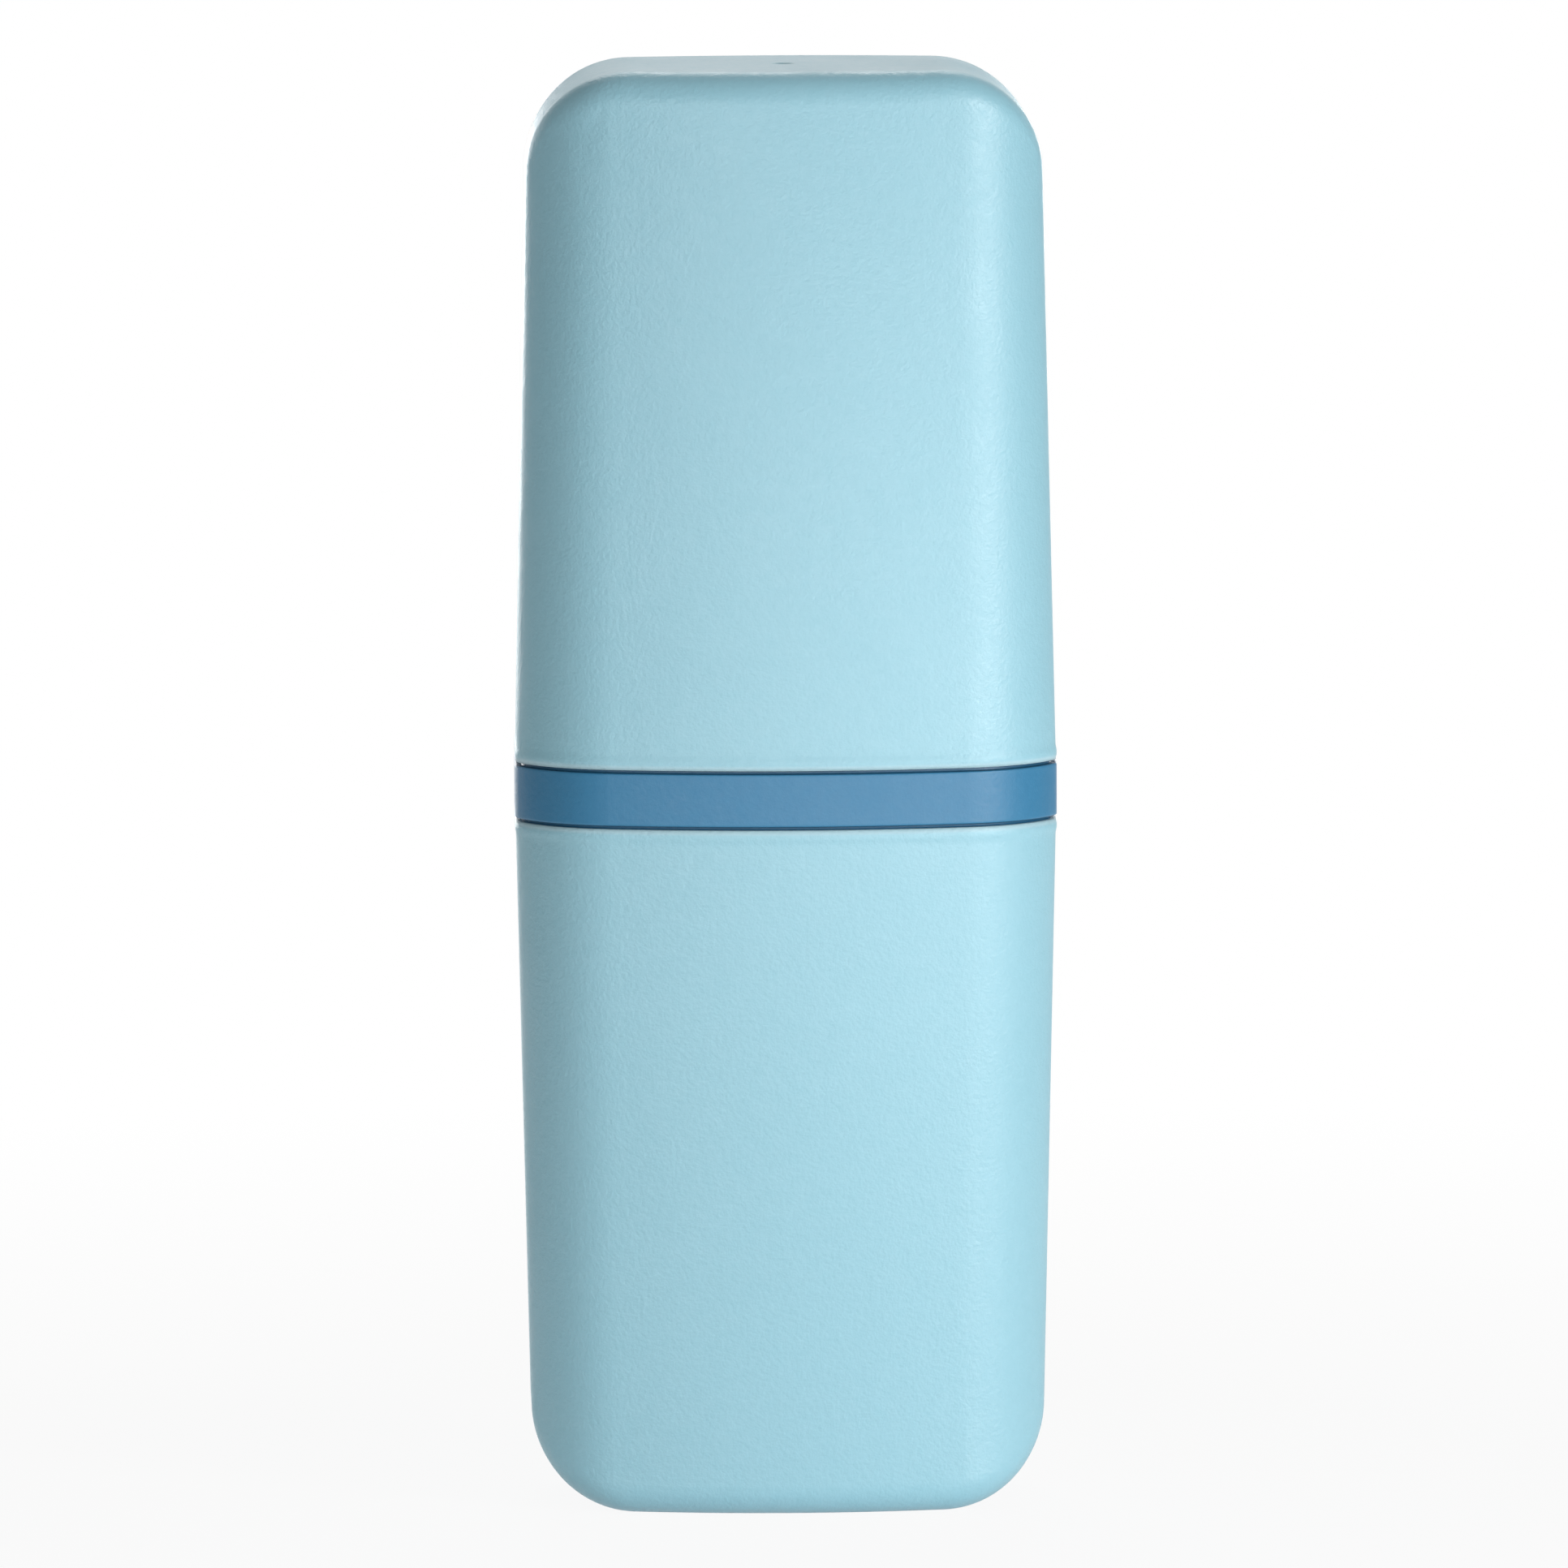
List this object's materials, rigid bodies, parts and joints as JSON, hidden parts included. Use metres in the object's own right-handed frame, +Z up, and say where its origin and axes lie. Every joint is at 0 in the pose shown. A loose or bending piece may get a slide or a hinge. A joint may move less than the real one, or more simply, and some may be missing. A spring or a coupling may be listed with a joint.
{
  "type": "electric toothbrush travel case",
  "caption": "Upright two-part travel case: two drafted oval cups that push onto a middle collar, with a deck inside that holds a toothbrush handle and brush heads.",
  "frame": {"origin": "centre of the base, on the surface that the case stands on", "axes": "+Z up along the case, +X to the right and -Y to the front, as the case stands facing the viewer"},
  "size_m": [0.0782, 0.0502, 0.2086],
  "materials": {
    "cup_plastic": "satin, fine moulded grain",
    "collar_plastic": "satin",
    "deck_plastic": "satin",
    "tray_plastic": "satin",
    "peg_plastic": "satin",
    "soft_silicone": "matte silicone"
  },
  "bodies": {
    "lower_case": {"lower_cup": "cup_plastic"},
    "tray": {"drip_tray": "tray_plastic", "foot_pad": "soft_silicone"},
    "collar": {"collar_ring": "collar_plastic", "upper_seal": "soft_silicone", "lower_seal": "soft_silicone"},
    "deck": {"organizer_deck": "deck_plastic", "handle_grip": "soft_silicone", "head_peg_front": "peg_plastic", "head_peg_rear": "peg_plastic"},
    "upper_case": {"upper_cup": "cup_plastic", "ceiling_bumper": "soft_silicone"}
  },
  "joints": [
    {"name": "collar_pull", "type": "slide", "parent": "lower_case", "child": "collar", "axis": [0, 0, 1], "range_m": [0, 0.03]},
    {"name": "upper_cup_pull", "type": "slide", "parent": "collar", "child": "upper_case", "axis": [0, 0, 1], "range_m": [0, 0.11]},
    {"name": "deck_lift", "type": "slide", "parent": "collar", "child": "deck", "axis": [0, 0, 1], "range_m": [0, 0.04]},
    {"name": "tray_lift", "type": "slide", "parent": "lower_case", "child": "tray", "axis": [0, 0, 1], "range_m": [0, 0.07]}
  ]
}
